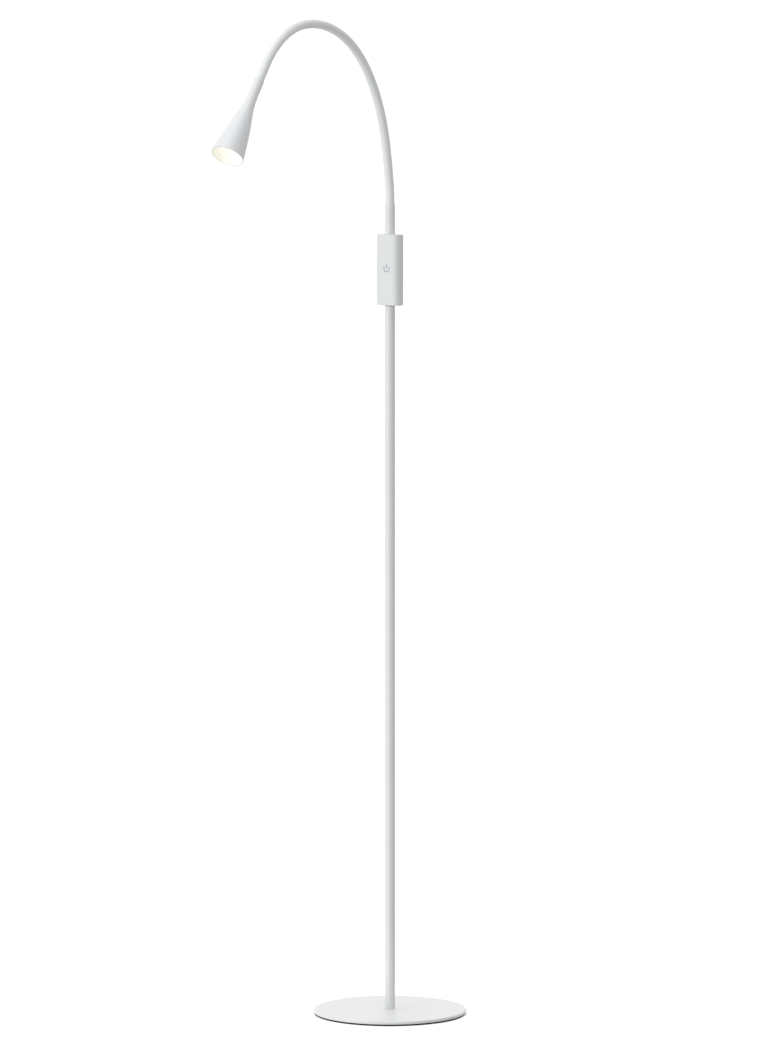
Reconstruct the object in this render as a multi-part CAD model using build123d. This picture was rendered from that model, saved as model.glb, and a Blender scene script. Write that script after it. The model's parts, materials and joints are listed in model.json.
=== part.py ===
from build123d import *
from math import ceil, cos, pi, radians, sin
import os

# Gooseneck reading floor lamp. Millimetres, +Z up. The origin is the middle of the foot's
# underside, the lamp stands on z = 0, its front faces -Y and the arm lies in the plane x = 0.

# Fits
SLIP = 0.05                 # radial clearance of a piece that is pushed into another
RUNNING_GAP = 0.3           # clearance between pieces that move past each other

# Foot
FOOT_DIAMETER = 180.0
PLATE_THICKNESS = 3.5
PLATE_EDGE = 1.4            # rounding of the plate's upper edge
ROUNDING_STEPS = 2          # cones that make up the rounding
PAD_THICKNESS = 2.0
PAD_INSET = 2.0             # the soft pad stays this far inside the plate's edge
FOOT_SCREW_DIAMETER = 6.0
FOOT_SCREW_HEAD = 10.0      # across the flats of its hexagon
FOOT_SCREW_HEAD_HEIGHT = 2.2
FOOT_SCREW_GRIP = 14.0      # length of thread above the plate

# Pole, all of one tube size
TUBE_DIAMETER = 12.0
TUBE_WALL = 1.0
POLE_LENGTH = 802.0         # from the plate to the joint below the switch box
TAIL_LENGTH = 33.2          # from that joint to the switch box
PLUG_LENGTH = 22.0
JOINER_LENGTH = 40.0
LEAD_DIAMETER = 2.4         # every electric lead in the lamp
LEAD_BORE = 4.0             # bore of the joiner that the lead runs through
BUSHING_HEIGHT = 34.0       # cord outlet in the back of the pole, above the plate
BUSHING_WIDTH = 5.0
BUSHING_LENGTH = 8.0
BUSHING_PROUD = 1.0

# Switch box
BOX_WIDTH = 32.8
BOX_DEPTH = 17.4
BOX_HEIGHT = 83.0
BOX_CORNER = 7.7
BOX_WALL = 1.6
BOX_TOP_WALL = 1.8
BASE_CAP_HEIGHT = 4.3
TUBE_NUT_WIDTH = 14.0       # across the flats of the thin nuts on the tube ends
TUBE_NUT_HEIGHT = 3.6
THREAD_PROUD = 1.0          # a tube end stands this far out of its nut
RIB_THICKNESS = 1.6         # upright ribs on the back wall, which carry the circuit board
RIB_SPACING = 16.0
RIB_HEIGHT = 44.0
FERRULE_LENGTH = 37.4       # above the box

# Push plate and switch
PANEL_WIDTH = 19.5
PANEL_MARGIN = 8.5          # of the box, above the plate and below it
PANEL_CORNER = 3.0
PANEL_TRAVEL = 0.8
TAB_REACH = 1.4             # how far a retaining tab goes behind the box wall
TAB_HEIGHT = 8.0
TAB_THICKNESS = 1.0
TAB_SPACING = 36.0
BOSS_DIAMETER = 5.0
SWITCH_ABOVE_MIDDLE = 2.0
PLUNGER_DIAMETER = 3.4
PLUNGER_PROUD = 1.5
PLUNGER_ENTRY = 1.0
SWITCH_SIZE = 6.2
SWITCH_DEPTH = 3.4
BOARD_FRONT = 2.6           # y of the circuit board's front face
BOARD_THICKNESS = 1.6
BOARD_WIDTH = 24.0
CHOKE_WIDTH = 9.0
CHOKE_DEPTH = 2.6
TERMINAL_WIDTH = 7.0
TERMINAL_DEPTH = 4.0
TERMINAL_HEIGHT = 5.0

# Gooseneck: stiff links, each bent as the arm stands, hinged end to end
GOOSENECK_DIAMETER = 10.5
FIRST_LINK_LENGTH = 21.0    # from the ferrule's mouth to the first hinge
LINK_PITCH = 48.9           # from hinge to hinge
LAST_LINK_LENGTH = 21.0     # from the last hinge to the shade
LINK_TURNS = (7.0, 5.0, 12.5, 14.0, 18.0, 18.0, 17.5, 25.0, 24.5, 0.0)   # degrees, root to head
SWAY_HINGES = (0, 7)        # these hinges swing sideways, the others nod
SPAN_TURN = 9.0             # a link is made of straight spans that turn at most this much
KNUCKLE_OVERSIZE = 1.0      # the knuckle's radius beyond the link's
GOOSENECK_ENTRY = 22.0      # how far it reaches into the ferrule and into the shade
END_NUT_WIDTH = 9.0         # across the flats of the nut on each end of the gooseneck
END_NUT_HEIGHT = 5.0

# Shade and lamp head, with distances along the axis measured from the mouth
SHADE_LENGTH = 106.0
FLARE_START = 84.0          # the neck's straight tube ends here
FLARE_END = 62.0            # and the bell begins here
FLARE_RADIUS = 8.3
FLARE_STEPS = 3             # cones that make up the flare
MOUTH_RADIUS = 19.4
BELL_STEPS = 2              # cones that make up the bell
SHADE_WALL = 1.2
DIFFUSER_RECESS = 7.2
DIFFUSER_THICKNESS = 1.5
LIGHT_CHAMBER_LENGTH = 13.0 # from the diffuser's back to the light board
LED_SIZE = 7.0
LED_THICKNESS = 0.8
LED_BOARD_WIDTH = 20.0      # across the flats of its hexagon
LED_BOARD_THICKNESS = 1.6
HEAT_SINK_WIDTH = 15.0      # it is square
HEAT_SINK_LENGTH = 19.0
HEAT_SINK_BASE = 2.5
FIN_GAP_COUNT = 3           # an odd number, because the lead runs in the middle gap
FIN_GAP_WIDTH = 2.6
FIN_PITCH = 4.3             # from the middle of one gap to the middle of the next

# Worked out from the sizes above
PLATE_TOP = PAD_THICKNESS + PLATE_THICKNESS
TUBE_RADIUS = TUBE_DIAMETER / 2
TUBE_BORE = TUBE_RADIUS - TUBE_WALL
TAIL_FOOT = PLATE_TOP + POLE_LENGTH
BOX_FOOT = TAIL_FOOT + TAIL_LENGTH
BOX_TOP = BOX_FOOT + BOX_HEIGHT
BOX_MIDDLE = BOX_FOOT + BOX_HEIGHT / 2
CAP_TOP = BOX_FOOT + BASE_CAP_HEIGHT
BOX_CEILING = BOX_TOP - BOX_TOP_WALL
TAIL_TOP = CAP_TOP + TUBE_NUT_HEIGHT + THREAD_PROUD
FERRULE_FOOT = BOX_CEILING - TUBE_NUT_HEIGHT - THREAD_PROUD
FERRULE_TOP = BOX_TOP + FERRULE_LENGTH
PANEL_HEIGHT = BOX_HEIGHT - 2 * PANEL_MARGIN
FRONT_FACE = -BOX_DEPTH / 2
FRONT_WALL = FRONT_FACE + BOX_WALL
BACK_WALL = BOX_DEPTH / 2 - BOX_WALL
BOARD_BACK = BOARD_FRONT + BOARD_THICKNESS
SWITCH_HEIGHT = BOX_MIDDLE + SWITCH_ABOVE_MIDDLE
SWITCH_FRONT = BOARD_FRONT - SWITCH_DEPTH
PLUNGER_FRONT = SWITCH_FRONT - PLUNGER_PROUD
LEAD_RADIUS = LEAD_DIAMETER / 2
LINK_COUNT = len(LINK_TURNS)
LINK_RADIUS = GOOSENECK_DIAMETER / 2
KNUCKLE_RADIUS = LINK_RADIUS + KNUCKLE_OVERSIZE
GOOSENECK_FOOT = FERRULE_TOP - GOOSENECK_ENTRY
GOOSENECK_END = SHADE_LENGTH - GOOSENECK_ENTRY
DIFFUSER_BACK = DIFFUSER_RECESS + DIFFUSER_THICKNESS
LED_BOARD_FRONT = DIFFUSER_BACK + LIGHT_CHAMBER_LENGTH
LED_BOARD_BACK = LED_BOARD_FRONT + LED_BOARD_THICKNESS
HEAT_SINK_BASE_BACK = LED_BOARD_BACK + HEAT_SINK_BASE
HEAT_SINK_BACK = LED_BOARD_BACK + HEAT_SINK_LENGTH


def rod(radius, low, high):
    """A round bar on the Z axis, from z = low to z = high."""
    return Pos(0, 0, low) * Cylinder(radius, high - low, align=(Align.CENTER, Align.CENTER, Align.MIN))


def tube(outer_radius, inner_radius, low, high):
    return rod(outer_radius, low, high) - rod(inner_radius, low, high)


def rod_along_y(radius, z, front, back):
    """A round bar along Y at height z, from y = front to y = back."""
    return Pos(0, back, z) * Rot(90, 0, 0) * rod(radius, 0, back - front)


def block(x_size, y_size, z_size, middle):
    return Pos(*middle) * Box(x_size, y_size, z_size)


def hexagon(flats, low, high):
    """A hexagonal bar on the Z axis, with two of its flats facing front and back."""
    outline = RegularPolygon(flats / 2, 6, major_radius=False)
    return Pos(0, 0, low) * extrude(outline, high - low)


def stacked_cones(stations):
    """A round solid on the Z axis through (z, radius) stations, with straight sides between them."""
    rings = [Pos(0, 0, z) * Circle(radius) for z, radius in stations]
    return loft(rings, ruled=True)


# Foot

def make_foot_plate():
    edge_foot = PLATE_TOP - PLATE_EDGE
    rim = FOOT_DIAMETER / 2
    stations = [(PAD_THICKNESS, rim)]
    for step in range(ROUNDING_STEPS + 1):
        turn = pi / 2 * step / ROUNDING_STEPS
        stations.append((edge_foot + PLATE_EDGE * sin(turn), rim - PLATE_EDGE * (1 - cos(turn))))
    plate = stacked_cones(stations)
    plate -= rod(FOOT_SCREW_DIAMETER / 2 + SLIP, PAD_THICKNESS, PLATE_TOP)
    return plate - hexagon(FOOT_SCREW_HEAD + 2 * SLIP, PAD_THICKNESS, PAD_THICKNESS + FOOT_SCREW_HEAD_HEIGHT)


def make_foot_pad():
    return rod(FOOT_DIAMETER / 2 - PAD_INSET, 0, PAD_THICKNESS)


def make_foot_screw():
    head = hexagon(FOOT_SCREW_HEAD, PAD_THICKNESS, PAD_THICKNESS + FOOT_SCREW_HEAD_HEIGHT)
    return head + rod(FOOT_SCREW_DIAMETER / 2, PAD_THICKNESS, PLATE_TOP + FOOT_SCREW_GRIP)


def hexagonal_insert(bore, low, high):
    """A long nut whose six edges bear on the bore of the pole."""
    flats = 2 * (TUBE_BORE - SLIP) * cos(pi / 6)
    return hexagon(flats, low, high) - rod(bore, low, high)


def make_foot_plug():
    """The long nut in the pole's end that the foot screw pulls on."""
    return hexagonal_insert(FOOT_SCREW_DIAMETER / 2 + SLIP, PLATE_TOP, PLATE_TOP + PLUG_LENGTH)


# Pole

def cord_outlet(grow):
    """The slot in the back of the pole, or the neck of the bushing in it, as a block."""
    front = LEAD_RADIUS
    back = TUBE_RADIUS + BUSHING_PROUD
    return block(BUSHING_WIDTH + 2 * grow, back - front, BUSHING_LENGTH + 2 * grow,
                 (0, (front + back) / 2, PLATE_TOP + BUSHING_HEIGHT))


def make_pole_tube():
    return tube(TUBE_RADIUS, TUBE_BORE, PLATE_TOP, TAIL_FOOT) - cord_outlet(SLIP)


def make_cord_bushing():
    """The block that lines the slot where a cord leaves the pole. Inside, it meets the lead's flank."""
    return cord_outlet(0)


def make_pole_joiner():
    """The insert that joins the pole to the tail tube. The lead runs through it."""
    return hexagonal_insert(LEAD_BORE / 2, TAIL_FOOT - JOINER_LENGTH / 2, TAIL_FOOT + JOINER_LENGTH / 2)


def make_tail_tube():
    return tube(TUBE_RADIUS, TUBE_BORE, TAIL_FOOT, TAIL_TOP)


def make_supply_lead():
    return rod(LEAD_RADIUS, PLATE_TOP + BUSHING_HEIGHT - BUSHING_LENGTH / 2, TAIL_TOP)


# Switch box

def box_section(inset, low, high):
    """A length of the box's rounded rectangular section, drawn in by inset all round."""
    outline = RectangleRounded(BOX_WIDTH - 2 * inset, BOX_DEPTH - 2 * inset, BOX_CORNER - inset)
    return Pos(0, 0, low) * extrude(outline, high - low)


def panel_section(grow, front, back):
    """The push plate's outline, larger by grow all round, as a slab from y = front to y = back."""
    outline = RectangleRounded(PANEL_WIDTH + 2 * grow, PANEL_HEIGHT + 2 * grow, PANEL_CORNER + grow)
    return Pos(0, back, BOX_MIDDLE) * Rot(90, 0, 0) * extrude(outline, back - front)


def make_housing_body():
    body = box_section(0, CAP_TOP, BOX_TOP) - box_section(BOX_WALL, CAP_TOP, BOX_CEILING)
    body -= rod(TUBE_RADIUS + SLIP, BOX_CEILING, BOX_TOP)
    body -= panel_section(RUNNING_GAP, FRONT_FACE, FRONT_FACE + BOX_CORNER / 2)
    rib_depth = BACK_WALL - BOARD_BACK
    for side in (-1, 1):
        body += block(RIB_THICKNESS, rib_depth, RIB_HEIGHT,
                      (side * RIB_SPACING / 2, BACK_WALL - rib_depth / 2, BOX_MIDDLE))
    return body


def make_housing_base_cap():
    return box_section(0, BOX_FOOT, CAP_TOP) - rod(TUBE_RADIUS + SLIP, BOX_FOOT, CAP_TOP)


def make_tube_nut(low):
    return hexagon(TUBE_NUT_WIDTH, low, low + TUBE_NUT_HEIGHT) - rod(TUBE_RADIUS + SLIP, low, low + TUBE_NUT_HEIGHT)


def make_arm_ferrule():
    """The short tube on top of the box that the gooseneck comes out of."""
    return tube(TUBE_RADIUS, LINK_RADIUS + SLIP, FERRULE_FOOT, FERRULE_TOP)


# Push plate, switch and circuit board

def make_push_plate():
    slab = box_section(0, BOX_FOOT, BOX_TOP) & panel_section(0, FRONT_FACE, FRONT_WALL)
    plate = slab + rod_along_y(BOSS_DIAMETER / 2, SWITCH_HEIGHT, FRONT_WALL, PLUNGER_FRONT)
    # each tab steps back from the slab's edge and then reaches behind the box wall
    tab_front = FRONT_WALL + BOX_WALL / 2
    tab_back = tab_front + TAB_THICKNESS
    edge = PANEL_WIDTH / 2
    for side in (-1, 1):
        for level in (-1, 1):
            height = BOX_MIDDLE + level * TAB_SPACING / 2
            plate += block(TAB_REACH, tab_back - FRONT_WALL, TAB_HEIGHT,
                           (side * (edge - TAB_REACH / 2), (FRONT_WALL + tab_back) / 2, height))
            plate += block(2 * TAB_REACH, TAB_THICKNESS, TAB_HEIGHT,
                           (side * edge, (tab_front + tab_back) / 2, height))
    return plate


def make_switch_plunger():
    return rod_along_y(PLUNGER_DIAMETER / 2, SWITCH_HEIGHT, PLUNGER_FRONT, SWITCH_FRONT + PLUNGER_ENTRY)


def make_push_switch():
    body = block(SWITCH_SIZE, SWITCH_DEPTH, SWITCH_SIZE,
                 (0, (SWITCH_FRONT + BOARD_FRONT) / 2, SWITCH_HEIGHT))
    bore_end = SWITCH_FRONT + PLUNGER_ENTRY + PANEL_TRAVEL + RUNNING_GAP
    return body - rod_along_y(PLUNGER_DIAMETER / 2 + RUNNING_GAP, SWITCH_HEIGHT, SWITCH_FRONT, bore_end)


def make_circuit_board():
    """The board stands between the two tube ends and lies against the box's ribs."""
    return block(BOARD_WIDTH, BOARD_THICKNESS, FERRULE_FOOT - TAIL_TOP,
                 (0, (BOARD_FRONT + BOARD_BACK) / 2, (TAIL_TOP + FERRULE_FOOT) / 2))


def make_driver_choke():
    return block(CHOKE_WIDTH, CHOKE_DEPTH, CHOKE_WIDTH, (0, BOARD_BACK + CHOKE_DEPTH / 2, BOX_MIDDLE))


def make_terminal(low):
    """A terminal block on the board's front, over the end of a lead."""
    return block(TERMINAL_WIDTH, TERMINAL_DEPTH, TERMINAL_HEIGHT,
                 (0, BOARD_FRONT - TERMINAL_DEPTH / 2, low + TERMINAL_HEIGHT / 2))


def make_arm_lead():
    return rod(LEAD_RADIUS, FERRULE_FOOT, GOOSENECK_FOOT)


# Gooseneck

def make_end_nut(low):
    """The small nut on an end of the gooseneck, which the lead runs through."""
    high = low + END_NUT_HEIGHT
    return hexagon(END_NUT_WIDTH, low, high) - rod(LEAD_RADIUS + SLIP, low, high)


def direction(angle):
    """Unit vector in the arm's plane that leans forward from straight up by angle degrees."""
    return Vector(0, -sin(radians(angle)), cos(radians(angle)))


def bend(start, angle, turn, length):
    """Points along a stretch that turns evenly from the given angle, the start and the end included."""
    spans = max(1, ceil(turn / SPAN_TURN))
    points = [start]
    for span in range(spans):
        middle = angle + turn * (span + 0.5) / spans
        points.append(points[-1] + direction(middle) * (length / spans))
    return points


def arm_route():
    """For each link its points, and the arm's angle at its end, from the ferrule to the shade."""
    lengths = [FIRST_LINK_LENGTH] + [LINK_PITCH] * (LINK_COUNT - 2) + [LAST_LINK_LENGTH]
    start, angle, route = Vector(0, 0, FERRULE_TOP), 0.0, []
    for length, turn in zip(lengths, LINK_TURNS):
        points = bend(start, angle, turn, length)
        angle += turn
        route.append((points, angle))
        start = points[-1]
    return route


def hinge_bar(hinge, radius):
    """A round bar on a hinge's axis, which crosses the arm at the hinge's point."""
    points, angle = arm_route()[hinge]
    sideways = Vector(1, 0, 0)
    axis = direction(angle).cross(sideways) if hinge in SWAY_HINGES else sideways
    return Plane(origin=points[-1], z_dir=axis) * Cylinder(radius, 4 * KNUCKLE_RADIUS)


def make_link(number):
    """A bent round bar, with a knuckle at its far end and a hollow for the last link's knuckle."""
    route, angle = arm_route()[number]
    first, last = number == 0, number == LINK_COUNT - 1
    heading = (route[-1] - route[-2]).normalized()
    far_end = route[-1] + heading * (GOOSENECK_ENTRY if last else KNUCKLE_RADIUS)
    near_end = route[0] - direction(0) * GOOSENECK_ENTRY if first else route[0]
    corners = [near_end] + ([route[0]] if first else []) + route[1:-1] + [far_end]
    path = Polyline(*corners) if len(corners) > 2 else Line(*corners)
    section = Plane(origin=near_end, z_dir=corners[1] - near_end) * Circle(LINK_RADIUS)
    link = sweep(section, path=path, transition=Transition.RIGHT)
    if not first:
        link -= hinge_bar(number - 1, KNUCKLE_RADIUS + RUNNING_GAP)
    if not last:
        size = 4 * KNUCKLE_RADIUS
        ahead = Box(size, size, size, align=(Align.CENTER, Align.CENTER, Align.MIN))
        link -= Plane(origin=route[-1], z_dir=heading) * ahead - hinge_bar(number, KNUCKLE_RADIUS)
    return link


# Shade and lamp head, made along +Z from the mouth at z = 0 and then set on the arm's end

def head_plane():
    points, angle = arm_route()[-1]
    mouth = points[-1] + direction(angle) * SHADE_LENGTH
    return Plane(origin=mouth, x_dir=(1, 0, 0), z_dir=direction(angle) * -1)


def stations_along(curve, steps):
    """(z, radius) stations along a curve drawn with x as the radius and y as the height."""
    return [((curve @ (step / steps)).Y, (curve @ (step / steps)).X) for step in range(steps + 1)]


def bell_inside(distance):
    """Free radius in the bell at a distance from the mouth, measured to the chord of its wall."""
    narrowing = (MOUTH_RADIUS - FLARE_RADIUS) / FLARE_END
    return MOUTH_RADIUS - SHADE_WALL - narrowing * distance - SLIP


def make_shade():
    """A trumpet: straight neck, flare and bell. Inside, the bell steps down behind the diffuser."""
    flare = TangentArc((TUBE_RADIUS, FLARE_START), (FLARE_RADIUS, FLARE_END), tangent=(0, -1))
    bell = TangentArc(flare @ 1, (MOUTH_RADIUS, 0), tangent=flare % 1)
    outside = stacked_cones([(SHADE_LENGTH, TUBE_RADIUS)] + stations_along(flare, FLARE_STEPS)
                            + stations_along(bell, BELL_STEPS)[1:])
    seat_radius = bell_inside(DIFFUSER_BACK) + SLIP
    recess = stacked_cones([(0, MOUTH_RADIUS - SHADE_WALL), (DIFFUSER_BACK, seat_radius)])
    light_chamber = rod(bell_inside(LED_BOARD_BACK) + SLIP, DIFFUSER_BACK, LED_BOARD_BACK)
    sink_chamber = rod(HEAT_SINK_WIDTH / 2 * 2 ** 0.5 + SLIP, LED_BOARD_BACK, HEAT_SINK_BACK)
    neck_bore = rod(LINK_RADIUS + SLIP, HEAT_SINK_BACK, SHADE_LENGTH)
    return outside - recess - light_chamber - sink_chamber - neck_bore


def make_head_lead():
    return rod(LEAD_RADIUS, HEAT_SINK_BASE_BACK, GOOSENECK_END)


def make_heat_sink():
    """A square base with upright fins. Its corners bear on the shade."""
    sink = block(HEAT_SINK_WIDTH, HEAT_SINK_WIDTH, HEAT_SINK_LENGTH,
                 (0, 0, (LED_BOARD_BACK + HEAT_SINK_BACK) / 2))
    for gap in range(FIN_GAP_COUNT):
        x = (gap - (FIN_GAP_COUNT - 1) / 2) * FIN_PITCH
        sink -= block(FIN_GAP_WIDTH, HEAT_SINK_WIDTH, HEAT_SINK_BACK - HEAT_SINK_BASE_BACK,
                      (x, 0, (HEAT_SINK_BASE_BACK + HEAT_SINK_BACK) / 2))
    return sink


def make_led_board():
    return hexagon(LED_BOARD_WIDTH, LED_BOARD_FRONT, LED_BOARD_BACK)


def make_led_chip():
    return block(LED_SIZE, LED_SIZE, LED_THICKNESS, (0, 0, LED_BOARD_FRONT - LED_THICKNESS / 2))


def make_diffuser():
    return rod(bell_inside(DIFFUSER_BACK), DIFFUSER_RECESS, DIFFUSER_BACK)


def all_parts():
    parts = {
        "foot_plate": make_foot_plate(),
        "foot_pad": make_foot_pad(),
        "foot_screw": make_foot_screw(),
        "foot_plug": make_foot_plug(),
        "pole_tube": make_pole_tube(),
        "cord_bushing": make_cord_bushing(),
        "pole_joiner": make_pole_joiner(),
        "tail_tube": make_tail_tube(),
        "tail_nut": make_tube_nut(CAP_TOP),
        "supply_lead": make_supply_lead(),
        "housing_body": make_housing_body(),
        "housing_base_cap": make_housing_base_cap(),
        "push_plate": make_push_plate(),
        "switch_plunger": make_switch_plunger(),
        "push_switch": make_push_switch(),
        "circuit_board": make_circuit_board(),
        "driver_choke": make_driver_choke(),
        "supply_terminal": make_terminal(TAIL_TOP),
        "arm_terminal": make_terminal(FERRULE_FOOT - TERMINAL_HEIGHT),
        "arm_lead": make_arm_lead(),
        "ferrule_nut": make_tube_nut(BOX_CEILING - TUBE_NUT_HEIGHT),
        "arm_ferrule": make_arm_ferrule(),
        "root_nut": make_end_nut(GOOSENECK_FOOT - END_NUT_HEIGHT),
    }
    for number in range(LINK_COUNT):
        parts[f"gooseneck_link_{number}"] = make_link(number)
    head = {
        "shade": make_shade(),
        "head_nut": make_end_nut(GOOSENECK_END - END_NUT_HEIGHT),
        "head_lead": make_head_lead(),
        "heat_sink": make_heat_sink(),
        "led_board": make_led_board(),
        "led_chip": make_led_chip(),
        "diffuser": make_diffuser(),
    }
    place = head_plane()
    for name, shape in head.items():
        parts[name] = place * shape
    return parts


os.makedirs("parts", exist_ok=True)
for name, shape in all_parts().items():
    export_step(shape, f"parts/{name}.step")
for hinge, (points, angle) in enumerate(arm_route()[:-1]):
    kind = "sway" if hinge in SWAY_HINGES else "nod"
    where = ", ".join(f"{value:.3f}" for value in points[-1])
    print(f"hinge {hinge}: {kind}, at {where}, arm angle {angle:.1f}")
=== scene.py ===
import bmesh
import bpy
import json
from math import cos, pi, radians, sin, tan
from mathutils import Matrix, Vector


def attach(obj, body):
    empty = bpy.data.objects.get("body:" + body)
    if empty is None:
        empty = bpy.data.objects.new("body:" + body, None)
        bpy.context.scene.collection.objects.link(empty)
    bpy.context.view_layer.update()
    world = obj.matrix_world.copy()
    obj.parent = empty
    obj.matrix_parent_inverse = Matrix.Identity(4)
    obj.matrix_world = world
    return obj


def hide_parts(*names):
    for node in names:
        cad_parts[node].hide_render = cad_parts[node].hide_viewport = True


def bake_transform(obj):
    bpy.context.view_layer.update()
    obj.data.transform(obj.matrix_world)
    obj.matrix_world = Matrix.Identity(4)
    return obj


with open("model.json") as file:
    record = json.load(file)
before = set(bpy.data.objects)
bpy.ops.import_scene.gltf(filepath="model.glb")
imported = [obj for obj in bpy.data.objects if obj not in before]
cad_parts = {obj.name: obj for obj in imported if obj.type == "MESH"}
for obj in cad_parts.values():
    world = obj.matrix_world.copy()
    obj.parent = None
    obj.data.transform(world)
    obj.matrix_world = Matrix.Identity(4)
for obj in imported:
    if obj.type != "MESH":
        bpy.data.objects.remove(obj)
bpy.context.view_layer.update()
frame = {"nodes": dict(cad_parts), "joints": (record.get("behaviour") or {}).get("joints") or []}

# ------------------------------------------------------------------------------------------
# Studio. A white paper sweep that runs out of the picture, a large soft light level with the
# lamp on its left, another overhead, a weaker one behind, and even light from all round. The
# camera stands 9.5 m off and looks a little down on the lamp through a long lens.

CAMERA_AZIMUTH = 32.56      # degrees round the lamp from its front
CAMERA_DISTANCE = 9.4965    # metres from the pole
CAMERA_HEIGHT = 1.67
CAMERA_TILT = 6.5054        # degrees below level
CAMERA_LENS = 281.62        # mm
SENSOR_HEIGHT = 36.0        # mm, along the picture's longer side

camera = bpy.data.objects.new("camera", bpy.data.cameras.new("camera"))
bpy.context.collection.objects.link(camera)
camera.data.lens = CAMERA_LENS
camera.data.sensor_width = SENSOR_HEIGHT
camera.data.clip_end = 200.0
around = radians(CAMERA_AZIMUTH)
camera.location = (CAMERA_DISTANCE * sin(around), -CAMERA_DISTANCE * cos(around), CAMERA_HEIGHT)
camera.rotation_euler = (radians(90 - CAMERA_TILT), 0, around)
bpy.context.scene.camera = camera
bpy.context.scene.view_settings.view_transform = "Standard"


def linear(hex_colour):
    """An sRGB hex colour as linear red, green, blue and alpha."""
    channels = [int(hex_colour[i:i + 2], 16) / 255 for i in (0, 2, 4)]
    return [c / 12.92 if c <= 0.04045 else ((c + 0.055) / 1.055) ** 2.4 for c in channels] + [1.0]


def add(tree, kind, settings=None, links=None):
    """Adds a node. Settings are its inputs or its attributes, links are input: output socket."""
    node = tree.nodes.new(kind)
    for name, value in (settings or {}).items():
        if isinstance(name, int) or name in node.inputs:
            node.inputs[name].default_value = value
        else:
            setattr(node, name, value)
    for name, source in (links or {}).items():
        tree.links.new(source, node.inputs[name])
    return node


FILL_LIGHT = 0.468          # radiance of the even light, and what the coats' sheen sees of it
SHEEN_LIGHT = 1.18

world = bpy.data.worlds.new("studio")
world.use_nodes = True
bpy.context.scene.world = world
sky = world.node_tree
sky.nodes.clear()
ray = add(sky, "ShaderNodeLightPath")
fill = add(sky, "ShaderNodeBackground", {"Color": (1, 1, 1, 1), "Strength": FILL_LIGHT})
sheen = add(sky, "ShaderNodeBackground", {"Color": (1, 1, 1, 1), "Strength": SHEEN_LIGHT})
paper = add(sky, "ShaderNodeBackground", {"Color": (1, 1, 1, 1), "Strength": 1.0})
lit = add(sky, "ShaderNodeMixShader",
          links={0: ray.outputs["Is Glossy Ray"], 1: fill.outputs[0], 2: sheen.outputs[0]})
either = add(sky, "ShaderNodeMixShader",
             links={0: ray.outputs["Is Camera Ray"], 1: lit.outputs[0], 2: paper.outputs[0]})
add(sky, "ShaderNodeOutputWorld", links={"Surface": either.outputs[0]})

# name, irradiance, azimuth and elevation of where it comes from, and how wide it looks, in degrees
for name, strength, azimuth, elevation, spread in (
        ("side_light", 1.44, -24.0, -5.0, 60.0), ("top_light", 1.4, -24.0, 85.0, 60.0),
        ("back_light", 0.8, 205.0, -2.0, 60.0)):
    light = bpy.data.objects.new(name, bpy.data.lights.new(name, "SUN"))
    bpy.context.collection.objects.link(light)
    light.data.energy = strength
    light.data.angle = radians(spread)
    light.rotation_euler = (radians(90 - elevation), 0, radians(azimuth))
    light.visible_glossy = name != "back_light"     # it would flare on the foot plate

PAPER_REACH = 80.0          # metres each way, past what the camera sees
PAPER_GLOW = 0.18           # lifts the paper to a clean white

sweep = bpy.data.meshes.new("paper_sweep")
sweep.from_pydata([(x * PAPER_REACH, y * PAPER_REACH, 0) for x, y in ((-1, -1), (1, -1), (1, 1), (-1, 1))],
                  [], [(0, 1, 2, 3)])
floor = bpy.data.objects.new("paper_sweep", sweep)
bpy.context.collection.objects.link(floor)
floor.visible_diffuse = False
floor.visible_glossy = False
floor.visible_shadow = False
sheet_white = bpy.data.materials.new("white_paper")
sheet_white.use_nodes = True
surface = sheet_white.node_tree.nodes["Principled BSDF"]
surface.inputs["Base Color"].default_value = linear("FBFBFB")
surface.inputs["Roughness"].default_value = 0.9
surface.inputs["Specular IOR Level"].default_value = 0.0
surface.inputs["Emission Color"].default_value = (1, 1, 1, 1)
surface.inputs["Emission Strength"].default_value = PAPER_GLOW
floor.data.materials.append(sheet_white)

# ------------------------------------------------------------------------------------------
# Foot plate. A disc cut from 3.5 mm steel sheet, its edge ground round, then powder coated:
# a satin white skin with a faint orange peel. A stepped hole in the middle takes the screw.

MM = 0.001
FOOT_RADIUS = 90.0
PLATE_FOOT = 2.0
PLATE_THICKNESS = 3.5
PLATE_TOP = PLATE_FOOT + PLATE_THICKNESS
SCREW_HOLE = 3.05
SCREW_RECESS = 5.9
SCREW_RECESS_DEPTH = 2.25
PLATE_LOWER_EDGE = 0.35
PLATE_UPPER_EDGE = 1.5
FOOT_SIDES = 256
FLAT_REACH = 0.3            # how far beyond an arc its run stays flat, at most


def linked(name, mesh):
    """A piece with a mesh, put into the scene. It sits at the origin, its place is in its mesh."""
    piece = bpy.data.objects.new(name, mesh)
    bpy.context.collection.objects.link(piece)
    return piece


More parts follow.
